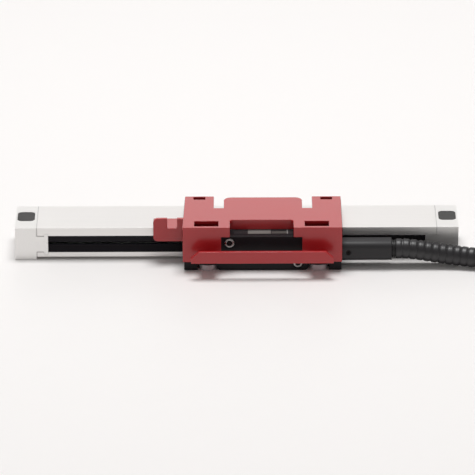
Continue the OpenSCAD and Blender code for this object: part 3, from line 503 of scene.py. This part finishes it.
def make_hose(props):
    """The corrugated hose in one run: free, coiled and up to the plug."""
    path = smooth_path(hose_points(), PATH_STEPS)
    total = path_length(path)
    bumps = round(total / props.pitch)
    per = len(RIB_SHAPE)
    stops = []
    radii = []
    for i in range(bumps * per + 1):
        stops.append(total * i / (bumps * per))
        radii.append(HOSE_D / 2 - props.groove * (1 - RIB_SHAPE[i % per]))
    mesh = tube_mesh("armoured_hose", walk(path, stops), radii, HOSE_SIDES)
    obj = new_object("armoured_hose", mesh, "scanning_unit", finish_for("hose_black"), smooth=60)
    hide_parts("hose", "hose_coil", "hose_tail")
    plug_pieces = [frame["nodes"]["plug_insert"], frame["nodes"]["plug_pins"]]
    plug_pieces += make_plug()
    plug_pieces.append(make_tie())
    dress("plug_insert", "plug_pins")


def make_plug():
    """The knurled shell of the round plug with its threaded mouth, and the crimped sleeve behind it."""
    sleeve_l = 0.008
    thread_at = 0.035
    length = 0.044
    wall = 0.0015
    outer = 0.0095
    neck = outer - 0.0012
    bore = 0.0045
    thread_r = 0.0085
    turns = 9
    knurl_rows = 40
    knurl_step = 0.00035
    knurl_start = 0.004
    knurl_depth = 0.00022
    knurl_turns = 26
    profile = [(0, bore), (0, neck), (0.0005, outer - 0.0006), (0.0012, outer - 0.0003)]
    profile += [(0.002, outer - 0.0003), (0.0022, neck), (0.0034, neck), (0.0036, outer - 0.0001)]
    profile += [(knurl_start + knurl_step * k, outer) for k in range(knurl_rows)]
    profile += [(0.0184, outer - 0.0001), (0.0186, neck), (0.0198, neck), (0.02, outer - 0.0002)]
    profile += [(0.0204, outer), (thread_at - 0.0006, outer), (thread_at, outer - 0.0006)]
    profile += [(thread_at, thread_r - 0.0008)]
    step = (length - thread_at - 0.0006) / turns
    for k in range(turns):
        s = thread_at + 0.0003 + k * step
        profile += [(s, thread_r - 0.0006), (s + step * 0.45, thread_r), (s + step * 0.6, thread_r)]
    profile += [(length - 0.0002, thread_r - 0.0007), (length, thread_r - wall + 0.0004)]
    profile += [(length, thread_r - wall)]
    profile += [(thread_at + 0.003, thread_r - wall), (thread_at, thread_r - wall), (thread_at, bore)]

    def ribs(s, r, angle):
        if 0.0041 < s < 0.0179 and r > outer - 0.0001:
            slant = s * 100 * knurl_turns
            cross = math.sin(knurl_turns * angle + slant) * math.sin(knurl_turns * angle - slant)
            return r - knurl_depth * (0.5 - 0.5 * cross)
        return r

    start = (PLUG_X, PLUG_Y + sleeve_l, PLUG_Z)
    mesh = turned_mesh("plug_knurled_shell", profile, start, (0, 1, 0), 4 * knurl_turns, ribs)
    shell = new_object("plug_knurled_shell", mesh, "scanning_unit", finish_for("plug_nickel"), smooth=30)
    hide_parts("plug_shell")
    r = 0.0063
    dip = r - 0.0007
    profile = [(0, 0.0), (0, r - 0.0006), (0.0005, r), (0.0018, r), (0.0022, dip), (0.003, dip), (0.0034, r),
               (0.0048, r), (0.0052, dip), (0.006, dip), (0.0064, r), (0.0078, r), (sleeve_l, r - 0.0003),
               (sleeve_l, 0.0)]
    mesh = turned_mesh("plug_crimp_sleeve", profile, (PLUG_X, PLUG_Y, PLUG_Z), (0, 1, 0))
    sleeve = new_object("plug_crimp_sleeve", mesh, "scanning_unit", finish_for("plug_nickel"), smooth=30)
    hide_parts("plug_sleeve")
    return [shell, sleeve]


def make_tie():
    return rounded_copy("coil_tie", "coil_strap", 0.0002, finish_for("tie_black"))


def make_outlet(props):
    """The cable outlet, its grub screw and the hose's ferrule."""
    outlet = rounded_copy("cable_outlet", "outlet_housing", 0.0003, finish_for("outlet_black"))
    bore = 0.003
    rim = 0.0047
    dip = 0.0044
    profile = [(0, bore), (0, 0.0043), (0.0003, rim), (0.0008, rim), (0.001, dip), (0.0013, dip),
               (0.0015, rim), (0.0019, rim), (0.0022, dip), (0.0022, bore), (0, bore)]
    mesh = turned_mesh("outlet_ferrule", profile, FERRULE_AT, (1, 0, 0))
    ring = new_object("outlet_ferrule", mesh, "scanning_unit", finish_for("ferrule_black"), smooth=30)
    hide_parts("hose_ferrule")
    dress("outlet_grub_screw")


def make_housing(props):
    """Rail, end blocks, caps, screws, gaskets, lips and the glass scale."""
    rail = rounded_copy("housing_rail", "rail_extrusion", props.metal_roll, finish_for("rail_silver"))
    for side in ("left", "right"):
        block = rounded_copy(side + "_end_block", side + "_end_casting", props.metal_roll,
                             finish_for("block_silver"))
        cap = rounded_copy(side + "_fixing_cap", side + "_cap_plug", 0.0002, finish_for("cap_grey"))
        dress(side + "_end_gasket", side + "_end_screws")
    dress("upper_sealing_lip", "lower_sealing_lip", "glass_scale", "scale_bond")


# Plain fields on the label, each with its colour
LABEL_FIELDS = (
    ((0.17, 0.16, 0.15), [(0.0059, 0.018, -0.0279, -0.0219)]),
    ((0.08, 0.075, 0.07), [(0.0186, 0.0262, -0.0277, -0.0245)]),
    ((0.26, 0.25, 0.24), [(0.0264, 0.027, -0.0279, -0.0225), (0.0059, 0.018, -0.0246, -0.0241)]),
)


def make_head(props):
    """Scanning head: block, cover, screws, bushes, label and board."""
    block = rounded_copy("head_block", "head_casting", props.roll, finish_for("head_black"))
    cover = rounded_copy("head_cover", "head_cover_plate", 0.0002, finish_for("head_black"))
    make_cover_screws()
    dress("left_fixing_bush", "right_fixing_bush", "signal_board", "head_label")
    label = frame["nodes"]["head_label"].data.materials[0]
    for colour, fields in LABEL_FIELDS:
        overlay(label, colour, fields)


def make_cover_screws():
    """Two button head screws with a rolled rim and a deep key socket."""
    front = -0.0315
    r = 0.00275
    places = (("upper", -0.0038, 0.0154), ("lower", 0.0323, 0.004))
    profile = [(0.0015, 0.0), (0.0015, r - 0.0001), (0.0008, r), (0.0005, r - 0.0001), (0.0002, r - 0.0004),
               (0.0001, r - 0.0008), (0.0001, 0.0018), (0.0002, 0.0016), (0.0012, 0.0015), (0.0012, 0.0)]
    socket_shade = [(0.0004, 0.0), (0.0004, 0.0015), (0.0011, 0.0015), (0.0011, 0.0)]
    for side, x, z in places:
        mesh = turned_mesh(side + "_cover_screw", profile, (x, front, z), (0, 1, 0), 48)
        head = new_object(side + "_cover_screw", mesh, "scanning_unit", finish_for("screw_steel"), smooth=40)
        # A black hexagonal block inside each socket is painted shade for the socket's dark inside.
        mesh = turned_mesh(side + "_painted_socket_shade", socket_shade, (x, front, z), (0, 1, 0), 6)
        new_object(side + "_painted_socket_shade", mesh, "scanning_unit", finish_for("screw_black"))
    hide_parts("cover_screws")


def make_carriage(props):
    """Blade, carriage, rollers and the optics inside the housing."""
    dress("coupling_blade", "blade_screws", "carriage_frame", "coupling_spring", "roller_pins", "light_unit",
          "condenser_lens", "scanning_reticle", "sensor_board", "flex_lead", "upper_left_roller",
          "upper_right_roller", "edge_left_roller", "edge_right_roller")


def make_brace(props):
    """The red shipping brace."""
    brace = rounded_copy("shipping_brace", "red_shipping_brace", props.roll, finish_for("brace_red"))


def make_stage(props):
    """Pale floor, white surroundings and soft lights."""
    scene = bpy.context.scene
    scene.view_settings.view_transform = "Standard"
    bm = bmesh.new()
    bmesh.ops.create_grid(bm, x_segments=1, y_segments=1, size=FLOOR_HALF)
    mesh = bpy.data.meshes.new("studio_floor")
    bm.to_mesh(mesh)
    bm.free()
    floor = bpy.data.objects.new("studio_floor", mesh)
    scene.collection.objects.link(floor)
    floor.location.z = -FLOOR_DROP
    paper = surface("floor_paper", (0.9, 0.88, 0.87), rough=0.45, vary=0.004, grain=300, bump=0.0,
                    rough_vary=0.03, specular=0.35)
    mesh.materials.append(paper)
    world = scene.world or bpy.data.worlds.new("studio_world")
    scene.world = world
    world.use_nodes = True
    tree = world.node_tree
    tree.nodes.clear()
    out = tree.nodes.new("ShaderNodeOutputWorld")
    sky = tree.nodes.new("ShaderNodeBackground")
    coords = tree.nodes.new("ShaderNodeTexCoord")
    split = tree.nodes.new("ShaderNodeSeparateXYZ")
    tree.links.new(coords.outputs["Generated"], split.inputs[0])
    fade = tree.nodes.new("ShaderNodeMapRange")
    fade.interpolation_type = "SMOOTHSTEP"
    fade.inputs["From Min"].default_value = SKY_FADE[0]
    fade.inputs["From Max"].default_value = SKY_FADE[1]
    fade.inputs["To Min"].default_value = props.front_sky
    fade.inputs["To Max"].default_value = props.back_sky
    tree.links.new(split.outputs["Y"], fade.inputs["Value"])
    tree.links.new(fade.outputs[0], sky.inputs[1])
    sky.inputs[0].default_value = SKY_TINT
    tree.links.new(sky.outputs[0], out.inputs[0])
    data = bpy.data.lights.new("overhead_soft", "AREA")
    data.shape = "RECTANGLE"
    data.size, data.size_y = props.lamp_long, props.lamp_deep
    data.energy = props.overhead
    lamp = bpy.data.objects.new("overhead_soft", data)
    lamp.location = (LAMP_ACROSS, props.lamp_y, LAMP_HEIGHT)
    lamp.rotation_euler = (-math.atan2(props.lamp_y, LAMP_HEIGHT), 0, 0)
    scene.collection.objects.link(lamp)


# Add-on

def length_property(name, description, default):
    return bpy.props.FloatProperty(name=name, description=description, default=default, unit="LENGTH")


class EncoderCamera(bpy.types.PropertyGroup):
    lens: bpy.props.FloatProperty(name="Lens", description="Focal length", default=362.0, unit="CAMERA")
    elevation: bpy.props.FloatProperty(name="Elevation", description="Height of the view", subtype="ANGLE",
                                       default=math.radians(22.98))
    roll: bpy.props.FloatProperty(name="Roll", description="Roll of the view", subtype="ANGLE",
                                  default=math.radians(-0.18))
    distance: length_property("Distance", "From the camera to the aim point", 2.5165)


class EncoderHose(bpy.types.PropertyGroup):
    pitch: length_property("Pitch", "Distance between two ribs of the hose", 0.0039)
    groove: length_property("Groove", "Depth between two ribs", 0.0005)


class EncoderEdges(bpy.types.PropertyGroup):
    roll: length_property("Rolled edge", "Width of the rolled edges", 0.0003)
    metal_roll: length_property("Rolled metal edge", "Width of the edges on the housing", 0.00008)


class EncoderStudio(bpy.types.PropertyGroup):
    front_sky: bpy.props.FloatProperty(name="Front sky", description="Strength of the surroundings in front",
                                       default=0.35)
    back_sky: bpy.props.FloatProperty(name="Back sky", description="Strength of the surroundings behind",
                                      default=1.35)
    overhead: bpy.props.FloatProperty(name="Overhead", description="Power of the light above", default=20.0,
                                      unit="POWER")
    lamp_long: length_property("Lamp length", "Length of the light above", 0.8)
    lamp_deep: length_property("Lamp depth", "Depth of the light above", 0.55)
    lamp_y: length_property("Lamp place", "How far back the light above hangs", 0.2)


def operator(idname, label, action, group):
    """An operator class that makes one piece or group."""
    def execute(self, context):
        action(getattr(context.scene, group))
        return {"FINISHED"}
    return type("ENCODER_OT_" + idname, (bpy.types.Operator,),
                {"bl_idname": "encoder." + idname, "bl_label": label, "bl_options": {"REGISTER", "UNDO"},
                 "__doc__": action.__doc__, "execute": execute})


GROUPS = {"encoder_camera": EncoderCamera, "encoder_hose": EncoderHose, "encoder_edges": EncoderEdges,
          "encoder_studio": EncoderStudio}
OPERATORS = [
    operator("camera", "Set the camera", make_camera, "encoder_camera"),
    operator("hose", "Make the hose and plug", make_hose, "encoder_hose"),
    operator("outlet", "Make the cable outlet", make_outlet, "encoder_edges"),
    operator("housing", "Dress the housing", make_housing, "encoder_edges"),
    operator("head", "Dress the head", make_head, "encoder_edges"),
    operator("carriage", "Dress the carriage", make_carriage, "encoder_edges"),
    operator("brace", "Dress the brace", make_brace, "encoder_edges"),
    operator("stage", "Set the studio", make_stage, "encoder_studio"),
]


class VIEW3D_PT_encoder(bpy.types.Panel):
    """Lists the steps that dress the encoder."""
    bl_label = "Encoder"
    bl_space_type = "VIEW_3D"
    bl_region_type = "UI"
    bl_category = "Encoder"

    def draw(self, context):
        for cls in OPERATORS:
            self.layout.operator(cls.bl_idname)
        for name, cls in GROUPS.items():
            group = getattr(context.scene, name)
            for prop in cls.__annotations__:
                self.layout.prop(group, prop)


def register():
    for name, cls in GROUPS.items():
        bpy.utils.register_class(cls)
        setattr(bpy.types.Scene, name, bpy.props.PointerProperty(type=cls))
    for cls in OPERATORS:
        bpy.utils.register_class(cls)
    bpy.utils.register_class(VIEW3D_PT_encoder)


def unregister():
    bpy.utils.unregister_class(VIEW3D_PT_encoder)
    for cls in reversed(OPERATORS):
        bpy.utils.unregister_class(cls)
    for name, cls in GROUPS.items():
        delattr(bpy.types.Scene, name)
        bpy.utils.unregister_class(cls)


def main():
    register()
    for cls in OPERATORS:
        space, name = cls.bl_idname.split(".")
        getattr(getattr(bpy.ops, space), name)()
    bpy.context.view_layer.update()


if __name__ == "__main__":
    main()
